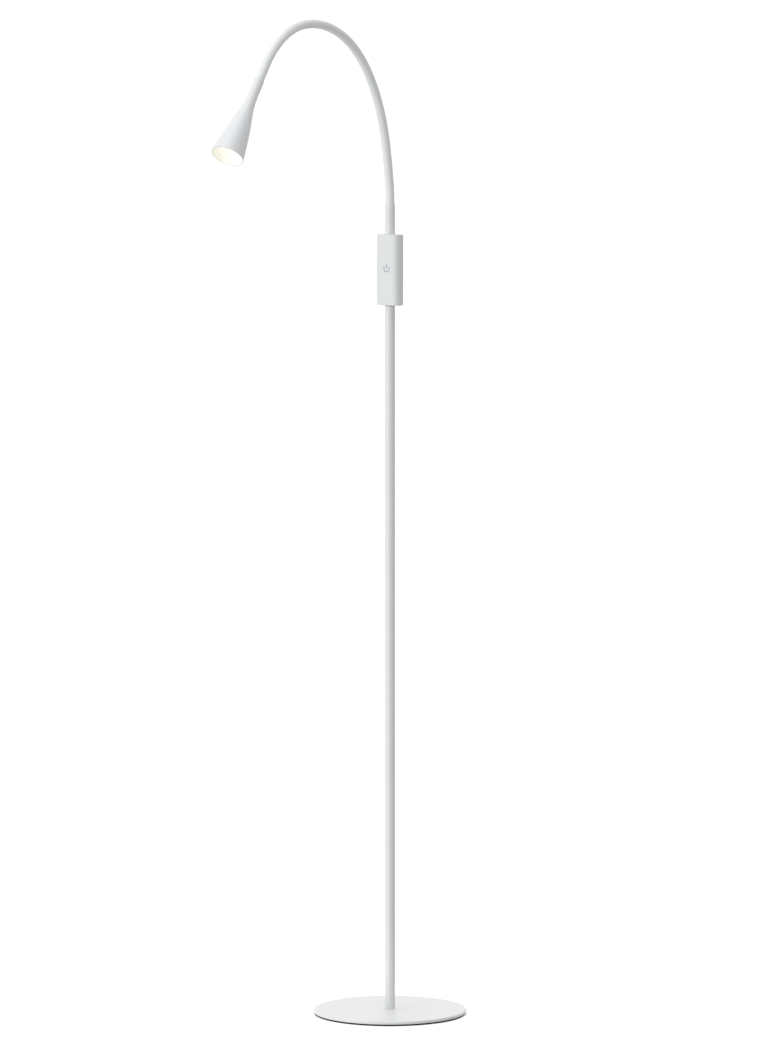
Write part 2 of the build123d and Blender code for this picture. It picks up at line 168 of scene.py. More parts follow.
def rounded(corners, steps=6):
    """A closed outline of (x, y, radius) corners as plain points, with an arc at each radius.
    A point just beyond each arc keeps the straight run flat where the mesh is shaded smooth."""
    points = []
    for i, (x, y, radius) in enumerate(corners):
        here = Vector((x, y))
        if radius == 0:
            points.append((x, y))
            continue
        back = (Vector(corners[i - 1][:2]) - here).normalized()
        ahead = (Vector(corners[(i + 1) % len(corners)][:2]) - here).normalized()
        half = back.angle(ahead) / 2
        reach = radius / tan(half)
        beyond = reach + min(radius / 2, FLAT_REACH)
        centre = here + (back + ahead).normalized() * (radius / sin(half))
        start = here + back * reach - centre
        turn = start.angle_signed(here + ahead * reach - centre)
        points.append(tuple(here + back * beyond))
        for step in range(steps + 1):
            angle = -turn * step / steps
            points.append((centre.x + start.x * cos(angle) - start.y * sin(angle),
                           centre.y + start.x * sin(angle) + start.y * cos(angle)))
        points.append(tuple(here + ahead * beyond))
    return points


def finish_mesh(mesh, sharp=32.0):
    """Closes and cleans a mesh, turns its faces outwards and shades all but real edges smooth."""
    work = bmesh.new()
    work.from_mesh(mesh)
    bmesh.ops.remove_doubles(work, verts=work.verts, dist=1e-7)
    bmesh.ops.recalc_face_normals(work, faces=work.faces)
    work.to_mesh(mesh)
    work.free()
    mesh.shade_smooth()
    mesh.set_sharp_from_angle(angle=radians(sharp))
    return mesh


def turned(name, outline, sides=128, place=Matrix.Identity(4)):
    """A piece turned from a closed outline of (radius, height) points in mm."""
    points, faces, count = [], [], len(outline)
    for side in range(sides):
        angle = 2 * pi * side / sides
        for radius, height in outline:
            at = Vector((radius * cos(angle), radius * sin(angle), height)) * MM
            points.append(place @ at)
    for side in range(sides):
        first, second = side * count, (side + 1) % sides * count
        for i in range(count):
            j = (i + 1) % count
            corners = [first + i, second + i, second + j, first + j]
            if outline[i][0] < 1e-9:
                corners.remove(second + i)
            if outline[j][0] < 1e-9:
                corners.remove(second + j)
            if len(corners) > 2:
                faces.append(corners)
    mesh = bpy.data.meshes.new(name)
    mesh.from_pydata(points, [], faces)
    return linked(name, finish_mesh(mesh))


def powder_coat(name, colour, shade, roughness):
    """Polyester powder coat, sprayed and baked: satin, with an orange peel of 1 mm waves."""
    material = bpy.data.materials.new(name)
    material.use_nodes = True
    tree = material.node_tree
    skin = tree.nodes["Principled BSDF"]
    skin.inputs["IOR"].default_value = 1.5
    place = add(tree, "ShaderNodeTexCoord").outputs["Object"]
    cloud = add(tree, "ShaderNodeTexNoise", {"Scale": 1 / 0.035, "Detail": 2.0}, {"Vector": place})
    tone = add(tree, "ShaderNodeMix", {"data_type": "RGBA", 6: linear(colour), 7: linear(shade)},
               {0: cloud.outputs["Fac"]})
    tree.links.new(tone.outputs[2], skin.inputs["Base Color"])
    peel = add(tree, "ShaderNodeTexNoise", {"Scale": 1 / 0.001, "Detail": 2.0, "Roughness": 0.4},
               {"Vector": place})
    gloss = add(tree, "ShaderNodeMapRange", {"To Min": roughness - 0.04, "To Max": roughness + 0.04},
                {"Value": peel.outputs["Fac"]})
    tree.links.new(gloss.outputs[0], skin.inputs["Roughness"])
    relief = add(tree, "ShaderNodeBump", {"Strength": 0.2, "Distance": 0.000012},
                 {"Height": peel.outputs["Fac"]})
    tree.links.new(relief.outputs[0], skin.inputs["Normal"])
    return material


steel_coat = powder_coat("powder_coated_steel", "E3E5E4", "E0E2E1", 0.42)

foot_plate = turned("foot_plate_dressed", rounded([
    (SCREW_HOLE, PLATE_TOP, 0), (SCREW_HOLE, PLATE_FOOT + SCREW_RECESS_DEPTH, 0),
    (SCREW_RECESS, PLATE_FOOT + SCREW_RECESS_DEPTH, 0), (SCREW_RECESS, PLATE_FOOT, 0),
    (FOOT_RADIUS, PLATE_FOOT, PLATE_LOWER_EDGE), (FOOT_RADIUS, PLATE_TOP, PLATE_UPPER_EDGE)]), FOOT_SIDES)
foot_plate.data.materials.append(steel_coat)
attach(foot_plate, "stand")
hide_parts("foot_plate")

# ------------------------------------------------------------------------------------------
# Foot pad. Black closed-cell foam, punched from sheet and glued under the plate, 1 mm inside
# its edge. It keeps the steel off the floor, and what shows of it is one dark line.

PAD_INSET = 1.1
PAD_RADIUS = FOOT_RADIUS - PAD_INSET
PAD_LOWER_EDGE = 0.3
PAD_UPPER_EDGE = 0.15

# The cut cells of the foam scatter light, so it looks dull and a little rough.
foam = bpy.data.materials.new("black_foam_sheet")
foam.use_nodes = True
tree = foam.node_tree
skin = tree.nodes["Principled BSDF"]
skin.inputs["Base Color"].default_value = linear("1B1C1C")
skin.inputs["Specular IOR Level"].default_value = 0.3
place = add(tree, "ShaderNodeTexCoord").outputs["Object"]
cells = add(tree, "ShaderNodeTexVoronoi", {"Scale": 1 / 0.0006}, {"Vector": place})
gloss = add(tree, "ShaderNodeMapRange", {"To Min": 0.82, "To Max": 0.96},
            {"Value": cells.outputs["Distance"]})
tree.links.new(gloss.outputs[0], skin.inputs["Roughness"])
relief = add(tree, "ShaderNodeBump", {"Strength": 0.5, "Distance": 0.00008},
             {"Height": cells.outputs["Distance"]})
tree.links.new(relief.outputs[0], skin.inputs["Normal"])

foot_pad = turned("foot_pad_dressed", rounded([
    (0, 0, 0), (PAD_RADIUS, 0, PAD_LOWER_EDGE), (PAD_RADIUS, PLATE_FOOT, PAD_UPPER_EDGE),
    (0, PLATE_FOOT, 0)]), FOOT_SIDES)
foot_pad.data.materials.append(foam)
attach(foot_pad, "stand")
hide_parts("foot_pad")

# ------------------------------------------------------------------------------------------
# Pole. Two lengths of 12 mm welded tube, 1 mm wall, coated like the plate, whose eased ends
# meet in one fine line below the switch box. A slot low in the back takes the cord's grommet.
# Right under the box, a narrow band is painted grey: a painted shadow of the box on the tube.

TUBE_RADIUS = 6.0
TUBE_WALL = 1.0
TUBE_BORE = TUBE_RADIUS - TUBE_WALL
JOINT_HEIGHT = 807.5
TAIL_TOP = 849.6
SLOT_WIDTH = 5.1
SLOT_HEIGHT = 8.1
SLOT_MIDDLE = 39.5
# heights of the band of painted shadow under the box
SHADOW_BAND_LOW = 839.5
SHADOW_BAND_HIGH = 840.7
TUBE_END_EDGE = 0.2
JOINT_EDGE = 0.25
TUBE_SIDES = 96
CLEAR = 1.0                 # how far a cutting tool stands out of what it cuts


def cut(piece, tool, operation="DIFFERENCE"):
    """Cuts one closed piece with another, keeps the result as a plain mesh and drops the tool."""
    work = piece.modifiers.new("cut", "BOOLEAN")
    work.object = tool
    work.operation = operation
    work.solver = "EXACT"
    ready = piece.evaluated_get(bpy.context.evaluated_depsgraph_get())
    mesh = bpy.data.meshes.new_from_object(ready)
    piece.modifiers.clear()
    piece.data = finish_mesh(mesh)
    bpy.data.objects.remove(tool)
    return piece


def block(name, low, high):
    """A plain box between two corners in mm, used to cut with."""
    work = bmesh.new()
    bmesh.ops.create_cube(work, size=1.0)
    for corner in work.verts:
        corner.co = Vector([(a + b) / 2 + c * (b - a) for a, b, c in zip(low, high, corner.co)]) * MM
    mesh = bpy.data.meshes.new(name)
    work.to_mesh(mesh)
    work.free()
    return linked(name, mesh)


def tube_outline(low, high, bore, low_edge, high_edge, levels=()):
    """The outline of a tube with eased ends, and with points at more levels of its outside."""
    return rounded([(bore, low, 0), (TUBE_RADIUS, low, low_edge)]
                   + [(TUBE_RADIUS, level, 0) for level in levels]
                   + [(TUBE_RADIUS, high, high_edge), (bore, high, 0)], 3)


pole = turned("pole_tube_dressed",
              tube_outline(PLATE_TOP, JOINT_HEIGHT, TUBE_BORE, TUBE_END_EDGE, JOINT_EDGE), TUBE_SIDES)
cut(pole, block("slot", (-SLOT_WIDTH / 2, TUBE_BORE / 2, SLOT_MIDDLE - SLOT_HEIGHT / 2),
                (SLOT_WIDTH / 2, TUBE_RADIUS + CLEAR, SLOT_MIDDLE + SLOT_HEIGHT / 2)))
tail = turned("tail_tube_dressed",
              tube_outline(JOINT_HEIGHT, TAIL_TOP, TUBE_BORE, JOINT_EDGE, TUBE_END_EDGE,
                           (SHADOW_BAND_LOW, SHADOW_BAND_HIGH)), TUBE_SIDES)
for piece, node in ((pole, "pole_tube"), (tail, "tail_tube")):
    piece.data.materials.append(steel_coat)
    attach(piece, "stand")
    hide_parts(node)

# Painted shadow: the box's shadow on the tube just below it, painted in the coat's finish as a flat mid
# grey.
painted_shadow_band = powder_coat("painted_box_shadow_grey", "868889", "808284", 0.5)
tail.data.materials.append(painted_shadow_band)
# the faces of the band of painted shadow take the grey
for face in tail.data.polygons:
    at = face.center / MM
    if at.xy.length > (TUBE_BORE + TUBE_RADIUS) / 2 and SHADOW_BAND_LOW < at.z < SHADOW_BAND_HIGH:
        face.material_index = 1

# ------------------------------------------------------------------------------------------
# Cord grommet. A small block of soft white plastic pressed into the slot in the pole's back,
# with its proud edge rounded over so that nothing chafes.

GROMMET_FRONT = 1.2
GROMMET_BACK = 7.0
GROMMET_GAP = 0.05
GROMMET_WIDTH = SLOT_WIDTH - 2 * GROMMET_GAP
GROMMET_HEIGHT = SLOT_HEIGHT - 2 * GROMMET_GAP
GROMMET_EDGE = 0.6


def moulded_plastic(name, colour, shade, roughness, grain, depth):
    """Thermoplastic moulded in a spark-eroded tool, which leaves a fine even grain, in metres."""
    material = bpy.data.materials.new(name)
    material.use_nodes = True
    tree = material.node_tree
    skin = tree.nodes["Principled BSDF"]
    skin.inputs["IOR"].default_value = 1.53
    place = add(tree, "ShaderNodeTexCoord").outputs["Object"]
    cloud = add(tree, "ShaderNodeTexNoise", {"Scale": 1 / 0.02, "Detail": 1.0}, {"Vector": place})
    tone = add(tree, "ShaderNodeMix", {"data_type": "RGBA", 6: linear(colour), 7: linear(shade)},
               {0: cloud.outputs["Fac"]})
    tree.links.new(tone.outputs[2], skin.inputs["Base Color"])
    spark = add(tree, "ShaderNodeTexNoise", {"Scale": 1 / grain, "Detail": 3.0, "Roughness": 0.6},
                {"Vector": place})
    gloss = add(tree, "ShaderNodeMapRange", {"To Min": roughness - 0.05, "To Max": roughness + 0.05},
                {"Value": spark.outputs["Fac"]})
    tree.links.new(gloss.outputs[0], skin.inputs["Roughness"])
    relief = add(tree, "ShaderNodeBump", {"Strength": 0.3, "Distance": depth},
                 {"Height": spark.outputs["Fac"]})
    tree.links.new(relief.outputs[0], skin.inputs["Normal"])
    return material


def eased(piece, width, steps=2, angle=35.0):
    """Rounds the sharp edges of a closed piece by a width in mm and keeps it as a plain mesh."""
    work = piece.modifiers.new("ease", "BEVEL")
    work.width = width * MM
    work.segments = steps
    work.limit_method = "ANGLE"
    work.angle_limit = radians(angle)
    ready = piece.evaluated_get(bpy.context.evaluated_depsgraph_get())
    mesh = bpy.data.meshes.new_from_object(ready)
    piece.modifiers.clear()
    piece.data = finish_mesh(mesh, 40.0)
    return piece


soft_plastic = moulded_plastic("white_soft_pvc", "DEDFDE", "D9DAD9", 0.6, 0.0004, 0.00003)
grommet = eased(block("cord_bushing_dressed",
                      (-GROMMET_WIDTH / 2, GROMMET_FRONT, SLOT_MIDDLE - GROMMET_HEIGHT / 2),
                      (GROMMET_WIDTH / 2, GROMMET_BACK, SLOT_MIDDLE + GROMMET_HEIGHT / 2)),
                GROMMET_EDGE, 3)
grommet.data.materials.append(soft_plastic)
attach(grommet, "stand")
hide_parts("cord_bushing")

# ------------------------------------------------------------------------------------------
# Switch box. A moulded ABS sleeve with a rounded rectangular section and a lid for its lower
# end, with a grain too fine to feel. The lid's joint is a hairline just above the lower end.

BOX_FOOT = 840.7
BOX_TOP = 923.7
BOX_MIDDLE = (BOX_FOOT + BOX_TOP) / 2
CAP_TOP = 845.0
BOX_HALF_WIDTH = 16.4
BOX_HALF_DEPTH = 8.7
BOX_CORNER = 7.7
BOX_WALL = 1.6
BOX_CEILING = 921.9
TUBE_GAP = 0.05
TUBE_HOLE = TUBE_RADIUS + TUBE_GAP
END_EDGE = 0.35
SEAM_EDGE = 0.07


def box_shell(name, stations, arc_steps=14):
    """A closed length of the box's section. Stations are (height, inset) in mm."""
    rings = []
    for height, inset in stations:
        x, y, corner = BOX_HALF_WIDTH - inset, BOX_HALF_DEPTH - inset, BOX_CORNER - inset
        outline = rounded([(-x, -y, corner), (x, -y, corner), (x, y, corner), (-x, y, corner)], arc_steps)
        rings.append([Vector((a, b, height)) * MM for a, b in outline])
    count = len(rings[0])
    faces = [list(range(count)), [count * (len(rings) - 1) + i for i in range(count)]]
    for level in range(len(rings) - 1):
        for i in range(count):
            j = (i + 1) % count
            base = level * count
            faces.append([base + i, base + j, base + count + j, base + count + i])
    mesh = bpy.data.meshes.new(name)
    mesh.from_pydata([point for ring in rings for point in ring], [], faces)
    return linked(name, finish_mesh(mesh))


def eased_stations(low, high, low_edge, high_edge, steps=3):
    """Stations for a length of the box whose two ends are rounded by the given radii."""
    turns = [pi / 2 * step / steps for step in range(steps + 1)]
    stations = [(low + low_edge * (1 - cos(turn)), low_edge * (1 - sin(turn))) for turn in turns]
    stations += [(low + 2 * low_edge, 0), (high - 2 * high_edge, 0)]
    stations += [(high - high_edge * (1 - sin(turn)), high_edge * (1 - cos(turn))) for turn in turns]
    return stations


def rod(name, radius, low, high, sides=96):
    """A plain round bar on the Z axis in mm, used to cut with."""
    return turned(name, [(0, low), (radius, low), (radius, high), (0, high)], sides)


def plate_blank(name, half_width, half_height, corner, front, back, arc_steps=10):
    """A slab with rounded corners that stands upright, from y = front to y = back in mm."""
    x, z = half_width, half_height
    outline = rounded([(-x, -z, corner), (x, -z, corner), (x, z, corner), (-x, z, corner)], arc_steps)
    count = len(outline)
    points = [Vector((a, y, BOX_MIDDLE + b)) * MM for y in (front, back) for a, b in outline]
    faces = [list(range(count)), list(range(count, 2 * count))]
    faces += [[i, (i + 1) % count, count + (i + 1) % count, count + i] for i in range(count)]
    mesh = bpy.data.meshes.new(name)
    mesh.from_pydata(points, [], faces)
    return linked(name, finish_mesh(mesh))


PUSH_HALF_WIDTH = 9.75
PUSH_HALF_HEIGHT = 33.0
PUSH_CORNER = 3.0
PUSH_GAP = 0.08
BOX_FRONT = -BOX_HALF_DEPTH

abs_white = moulded_plastic("white_moulded_abs", "E0E2E3", "DDDFE0", 0.5, 0.0005, 0.00002)

body = box_shell("housing_body_dressed", eased_stations(CAP_TOP, BOX_TOP, SEAM_EDGE, END_EDGE))
cut(body, box_shell("inside", [(CAP_TOP - CLEAR, BOX_WALL), (BOX_CEILING, BOX_WALL)]))
cut(body, rod("tube_hole", TUBE_HOLE, BOX_CEILING - CLEAR, BOX_TOP + CLEAR))
cut(body, plate_blank("window", PUSH_HALF_WIDTH, PUSH_HALF_HEIGHT, PUSH_CORNER,
                      BOX_FRONT - CLEAR, BOX_FRONT + 2 * BOX_WALL))
lid = box_shell("housing_base_cap_dressed", eased_stations(BOX_FOOT, CAP_TOP, END_EDGE, SEAM_EDGE))
cut(lid, rod("tube_hole", TUBE_HOLE, BOX_FOOT - CLEAR, CAP_TOP + CLEAR))
for piece, node in ((body, "housing_body"), (lid, "housing_base_cap")):
    piece.data.materials.append(abs_white)
    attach(piece, "stand")
    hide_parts(node)

# ------------------------------------------------------------------------------------------
# Push plate. It is moulded from the same ABS and fills the window in the box's front, flush
# and with hardly a gap. The whole plate is the lamp's switch, so it is what moves.

plate = plate_blank("push_plate_dressed", PUSH_HALF_WIDTH - PUSH_GAP, PUSH_HALF_HEIGHT - PUSH_GAP,
                    PUSH_CORNER - PUSH_GAP, BOX_FRONT - CLEAR, BOX_FRONT + BOX_WALL)
cut(plate, box_shell("outside", [(BOX_FOOT, 0), (BOX_TOP, 0)]), "INTERSECT")
plate.data.materials.append(abs_white)
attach(plate, "switch_button")
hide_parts("push_plate")

# ------------------------------------------------------------------------------------------
# Power mark. The plain symbol for on and off, a broken ring with a bar, pad printed on the
# push plate in cool grey ink that stands a hair proud of the plastic.

MARK_SIDE = 0.8
MARK_HEIGHT = 883.9
MARK_RADIUS = 3.7
MARK_LINE = 1.2
MARK_OPENING = 108.0
MARK_BAR = 5.0
INK_THICKNESS = 0.03
INK_SINK = 0.01             # how far the ink reaches into the plastic, so that no gap shows
RING_STEPS = 40
BAR_STEPS = 4
CAP_STEPS = 8               # of the half circle at each end of a band


def printed_band(name, centre_line):
    """A band of ink along a line of (x, z) points on the push plate, with round ends."""
    left, right, half = [], [], len(centre_line)
    for i, point in enumerate(centre_line):
        ahead = Vector(centre_line[min(i + 1, half - 1)]) - Vector(centre_line[max(i - 1, 0)])
        across = Vector((-ahead.y, ahead.x)).normalized() * MARK_LINE / 2
        left.append(Vector(point) + across)
        right.append(Vector(point) - across)
    ends = []
    for middle, start in ((Vector(centre_line[-1]), right[-1]), (Vector(centre_line[0]), left[0])):
        spoke = start - middle
        ends.append([middle + Matrix.Rotation(pi * step / CAP_STEPS, 2) @ spoke
                     for step in range(1, CAP_STEPS)])
    outline = right + ends[0] + left[::-1] + ends[1]
    count = len(outline)
    points = [Vector((p.x + MARK_SIDE, y, p.y + MARK_HEIGHT)) * MM
              for y in (BOX_FRONT - INK_THICKNESS, BOX_FRONT + INK_SINK) for p in outline]
    faces = [[i, (i + 1) % count, count + (i + 1) % count, count + i] for i in range(count)]
    far_side = 2 * half + CAP_STEPS - 2      # the left side's point across from the first right one
    for layer in (0, count):
        for i in range(half - 1):
            faces.append([layer + i, layer + i + 1, layer + far_side - i - 1, layer + far_side - i])
        faces.append([layer + half - 1 + i for i in range(CAP_STEPS + 1)])
        faces.append([layer + (far_side + i) % count for i in range(CAP_STEPS + 1)])
    mesh = bpy.data.meshes.new(name)
    mesh.from_pydata(points, [], faces)
    return linked(name, finish_mesh(mesh))


# The ink lies thin over the plastic's grain, so it is matt and not quite even.
ink = bpy.data.materials.new("grey_pad_print_ink")
ink.use_nodes = True
tree = ink.node_tree
skin = tree.nodes["Principled BSDF"]
place = add(tree, "ShaderNodeTexCoord").outputs["Object"]
cover = add(tree, "ShaderNodeTexNoise", {"Scale": 1 / 0.0008, "Detail": 2.0}, {"Vector": place})
tone = add(tree, "ShaderNodeMix", {"data_type": "RGBA", 6: linear("A2A7AE"), 7: linear("9BA0A7")},
           {0: cover.outputs["Fac"]})
tree.links.new(tone.outputs[2], skin.inputs["Base Color"])
skin.inputs["Roughness"].default_value = 0.55

ring_line = []
for step in range(RING_STEPS + 1):
    angle = radians(90 + MARK_OPENING / 2 + (360 - MARK_OPENING) * step / RING_STEPS)
    ring_line.append((MARK_RADIUS * cos(angle), MARK_RADIUS * sin(angle)))
bar_line = [(0, MARK_BAR * step / BAR_STEPS) for step in range(BAR_STEPS + 1)]
for name, line in (("power_mark_ring", ring_line), ("power_mark_bar", bar_line)):
    mark = printed_band(name, line)
    mark.data.materials.append(ink)
    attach(mark, "switch_button")

# ------------------------------------------------------------------------------------------
# Ferrule. A short end of the pole's own tube, coated with it, that stands on the box and
# grips the gooseneck. Its mouth is swaged in, so it runs over into the sleeve in a soft taper.

FERRULE_FOOT = 917.3
FERRULE_TOP = 961.2
SLEEVE_RADIUS = 5.25
SLEEVE_GAP = 0.04
SLEEVE_BORE = SLEEVE_RADIUS + SLEEVE_GAP
SWAGE_LENGTH = 5.0
SWAGE_STEPS = 12
MOUTH_LIP = 0.08            # what is left of the tube's wall at the mouth's edge

swage = []
for step in range(SWAGE_STEPS + 1):
    along = step / SWAGE_STEPS
    narrow = (TUBE_RADIUS - SLEEVE_BORE - MOUTH_LIP) * (3 * along ** 2 - 2 * along ** 3)
    swage.append((TUBE_RADIUS - narrow, FERRULE_TOP - SWAGE_LENGTH * (1 - along)))
ferrule = turned("arm_ferrule_dressed",
                 [(SLEEVE_BORE, FERRULE_FOOT), (TUBE_RADIUS, FERRULE_FOOT),
                  (TUBE_RADIUS, FERRULE_TOP - SWAGE_LENGTH - CLEAR)]
                 + swage + [(SLEEVE_BORE, FERRULE_TOP)], TUBE_SIDES)
ferrule.data.materials.append(steel_coat)
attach(ferrule, "stand")
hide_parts("arm_ferrule")

# ------------------------------------------------------------------------------------------
# Gooseneck. A steel strip wound on a wire coil, which stays where it is bent, in a smooth
# matt sleeve of white elastomer that shows no turns. The sleeve runs unbroken from the
# ferrule to the shade, in one stretch for each joint.

ARM_ANGLES = (0.0, 7.0, 12.0, 24.5, 38.5, 56.5, 74.5, 92.0, 117.0, 141.5, 141.5)
LAST_STRETCH = 21.0
SLEEVE_ENTRY = 16.0
ENTRY_STEPS = 8
STRETCH_STEPS = 20
BREAK_EASE = 0.006
SLEEVE_SIDES = 64
SLEEVE_CREASE = 60.0        # degrees, so that only the cut ends of a stretch shade as edges


def leaning(angle):
    """The direction in the arm's plane that leans forward from straight up by degrees."""
    return Vector((0, -sin(radians(angle)), cos(radians(angle))))


arm_joints = [joint for joint in frame["joints"] if joint["name"].startswith("arm_")]
knots = [Vector((0, 0, FERRULE_TOP * MM))] + [Vector(joint["pos_m"]) for joint in arm_joints]
knots.append(knots[-1] + leaning(ARM_ANGLES[-1]) * LAST_STRETCH * MM)


def arm_point(number, t):
    """A point on the arm's smooth centre line, t of the way from one knot to the next."""
    a, b = knots[number], knots[number + 1]
    reach = (b - a).length
    return (a * (2 * t ** 3 - 3 * t ** 2 + 1) + b * (3 * t ** 2 - 2 * t ** 3)
            + leaning(ARM_ANGLES[number]) * reach * (t ** 3 - 2 * t ** 2 + t)
            + leaning(ARM_ANGLES[number + 1]) * reach * (t ** 3 - t ** 2))


# Two stretches meet halfway between knots. A point close to each side of that place gives
# both ends the same slant, so that no gap opens between them.
centre_line = [knots[0] - leaning(0) * SLEEVE_ENTRY * MM * (1 - step / ENTRY_STEPS)
               for step in range(ENTRY_STEPS)]
middles = []
for number in range(len(knots) - 1):
    for step in range(STRETCH_STEPS):
        t = step / STRETCH_STEPS
        if step == STRETCH_STEPS // 2:
            middles.append(len(centre_line) + 1)
            centre_line += [arm_point(number, t + shift) for shift in (-BREAK_EASE, 0, BREAK_EASE)]
        else:
            centre_line.append(arm_point(number, t))
centre_line += [knots[-1] + leaning(ARM_ANGLES[-1]) * SLEEVE_ENTRY * MM * step / ENTRY_STEPS
                for step in range(ENTRY_STEPS + 1)]
breaks = [0] + middles[1:-1] + [len(centre_line) - 1]

sleeve_rubber = moulded_plastic("white_elastomer_sleeve", "E9ECEA", "E6E9E7", 0.56, 0.0006, 0.00002)

sleeve_tree = bpy.data.node_groups.new("sleeve_along_path", "GeometryNodeTree")
for name, kind in (("Path", "Geometry"), ("Radius", "Float"), ("Sides", "Int"), ("Skin", "Material")):
    sleeve_tree.interface.new_socket(name, in_out="INPUT", socket_type="NodeSocket" + kind)
sleeve_tree.interface.new_socket("Sleeve", in_out="OUTPUT", socket_type="NodeSocketGeometry")
given = add(sleeve_tree, "NodeGroupInput")
path = add(sleeve_tree, "GeometryNodeMeshToCurve", links={"Mesh": given.outputs["Path"]})
section = add(sleeve_tree, "GeometryNodeCurvePrimitiveCircle",
              links={"Resolution": given.outputs["Sides"], "Radius": given.outputs["Radius"]})
swept = add(sleeve_tree, "GeometryNodeCurveToMesh", {"Fill Caps": True},
            {"Curve": path.outputs[0], "Profile Curve": section.outputs["Curve"]})
real = add(sleeve_tree, "GeometryNodeRealizeInstances", links={"Geometry": swept.outputs[0]})
dressed = add(sleeve_tree, "GeometryNodeSetMaterial",
              links={"Geometry": real.outputs[0], "Material": given.outputs["Skin"]})
add(sleeve_tree, "NodeGroupOutput", links={"Sleeve": dressed.outputs[0]})
inputs = {item.name: item.identifier for item in sleeve_tree.interface.items_tree
          if item.in_out == "INPUT"}

for number, joint in enumerate(arm_joints):
    line = centre_line[breaks[number]:breaks[number + 1] + 1]
    mesh = bpy.data.meshes.new("path")
    mesh.from_pydata(line, [(i, i + 1) for i in range(len(line) - 1)], [])
    sleeve = linked(f"gooseneck_sleeve_{number}", mesh)
    maker = sleeve.modifiers.new("sleeve", "NODES")
    maker.node_group = sleeve_tree
    maker[inputs["Radius"]] = SLEEVE_RADIUS * MM
    maker[inputs["Sides"]] = SLEEVE_SIDES
    maker[inputs["Skin"]] = sleeve_rubber
    ready = sleeve.evaluated_get(bpy.context.evaluated_depsgraph_get())
    mesh = bpy.data.meshes.new_from_object(ready)
    sleeve.modifiers.clear()
    sleeve.data = finish_mesh(mesh, SLEEVE_CREASE)
    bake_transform(sleeve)
    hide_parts(f"gooseneck_link_{number}")
    if number == len(arm_joints) - 1:
        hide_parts(f"gooseneck_link_{number + 1}")

# ------------------------------------------------------------------------------------------
# Shade. A slender trumpet, moulded in one and painted satin white: a neck that slips over
# the gooseneck's end, a flare and a bell that is nearly straight. The rim is rounded. The short
# wall in front of the lit disc carries a painted glow and a lighter, warmer copy of the paint.

SHADE_LENGTH = 106.0
SHADE_WALL = 1.2
SHADE_PROFILE = ((0.0, 19.4), (13.0, 17.45), (25.0, 15.7), (37.0, 13.65), (49.0, 11.25), (57.0, 9.55),
                 (64.5, 8.0), (72.4, 6.85), (80.0, 6.2), (88.0, 6.0), (106.0, 6.0))
BORE_START = 43.0
CHAMBER_END = 42.3
CHAMBER_END_RADIUS = 10.8
RECESS_DEPTH = 7.2
RIM_EDGE = 0.35
RIM_INNER_EDGE = 0.25
OUTSIDE_START = 1.5         # the outside follows its curve between these distances
OUTSIDE_END = 104.0
OUTSIDE_STEPS = 60
INSIDE_PITCH = 2.0
INSIDE_STEPS = 20
GLOW_WALL_START = 0.2             # the wall carries the painted glow from here to a little behind the disc's front
GLOW_WALL_BEHIND = 2.0
WALL_SLACK = 0.15           # how near to the inner wall a face has to be to count as part of it

head_axis = leaning(ARM_ANGLES[-1])
mouth = knots[-1] + head_axis * SHADE_LENGTH * MM
head_place = Matrix.Translation(mouth) @ Matrix.Rotation(radians(ARM_ANGLES[-1] - 180), 4, "X")


def shade_radius(distance):
    """The shade's outer radius at a distance from its mouth, on a smooth curve through its profile."""
    for i in range(len(SHADE_PROFILE) - 1):
        if distance <= SHADE_PROFILE[i + 1][0]:
            break
    (x1, y1), (x2, y2) = SHADE_PROFILE[i], SHADE_PROFILE[i + 1]
    x0, y0 = SHADE_PROFILE[max(i - 1, 0)]
    x3, y3 = SHADE_PROFILE[min(i + 2, len(SHADE_PROFILE) - 1)]
    width = x2 - x1
    slope1 = (y2 - y0) / (x2 - x0) * width
    slope2 = (y3 - y1) / (x3 - x1) * width
    t = (distance - x1) / width
    return (y1 * (2 * t ** 3 - 3 * t ** 2 + 1) + y2 * (3 * t ** 2 - 2 * t ** 3)
            + slope1 * (t ** 3 - 2 * t ** 2 + t) + slope2 * (t ** 3 - t ** 2))


# The same satin paint outside and in. In front of the disc the wall gets a lit copy of the paint,
# lighter and warmer, with a painted glow that makes it almost as bright as the disc itself.
shade_coat = powder_coat("satin_painted_shade", "E3E5E7", "E0E2E4", 0.45)
painted_glow_coat = powder_coat("satin_paint_with_painted_glow", "F3F2EC", "F1F0EA", 0.45)
painted_glow_skin = painted_glow_coat.node_tree.nodes["Principled BSDF"]
# painted glow: the wall emits light of its own in place of the disc's light falling on it
painted_glow_skin.inputs["Emission Color"].default_value = linear("FFFCE6")
painted_glow_skin.inputs["Emission Strength"].default_value = 0.22

mouth_radius = SHADE_PROFILE[0][1]
down = [1 - step / OUTSIDE_STEPS for step in range(OUTSIDE_STEPS + 1)]
outside = [OUTSIDE_START + (OUTSIDE_END - OUTSIDE_START) * share for share in down]
inner_wall = [INSIDE_PITCH * step for step in range(1, INSIDE_STEPS + 1)]
outline = [(SLEEVE_BORE, BORE_START, 0), (SLEEVE_BORE, SHADE_LENGTH, 0)]
outline += [(TUBE_RADIUS, SHADE_LENGTH, RIM_EDGE)]
outline += [(shade_radius(distance), distance, 0) for distance in outside]
outline += [(mouth_radius, 0, RIM_EDGE), (mouth_radius - SHADE_WALL, 0, RIM_INNER_EDGE)]
outline += [(shade_radius(distance) - SHADE_WALL, distance, 0) for distance in inner_wall]
outline += [(CHAMBER_END_RADIUS, CHAMBER_END, 0)]
shade = turned("shade_dressed", rounded(outline, 4), 128, head_place)
shade.data.materials.append(shade_coat)
shade.data.materials.append(painted_glow_coat)
to_head = head_place.inverted()
